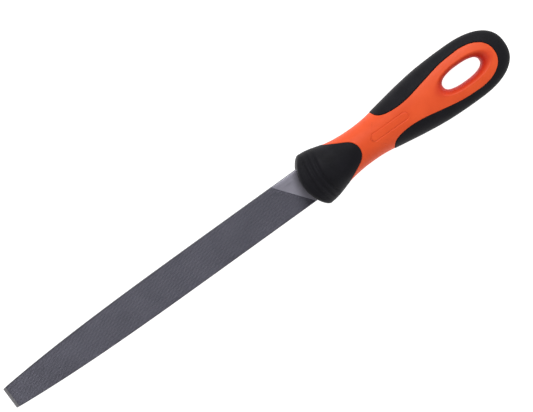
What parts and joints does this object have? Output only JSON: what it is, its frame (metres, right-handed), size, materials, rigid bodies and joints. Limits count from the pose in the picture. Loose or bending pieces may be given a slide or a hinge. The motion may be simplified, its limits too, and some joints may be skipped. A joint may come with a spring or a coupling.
{
  "type": "flat file",
  "caption": "Hand file for metal: flat double-cut steel blade driven into a hard plastic handle with soft rubber collar, soft rear grip and a hanging eye.",
  "frame": {"origin": "centre of the whole tool's box, on the blade's mid-plane", "axes": "+X from the blade's tip towards the end of the handle, +Z normal to the blade's flats, +Y across the blade"},
  "size_m": [0.3287, 0.0342, 0.0264],
  "materials": {
    "file_steel": "hardened steel, double-cut teeth, dark grey with a ground bare heel",
    "hard_plastic": "moulded orange plastic, satin",
    "soft_rubber": "moulded black thermoplastic rubber, matt"
  },
  "bodies": {
    "root": {"file_blade": "file_steel", "handle_core": "hard_plastic", "front_collar": "soft_rubber", "rear_grip": "soft_rubber"}
  },
  "joints": []
}
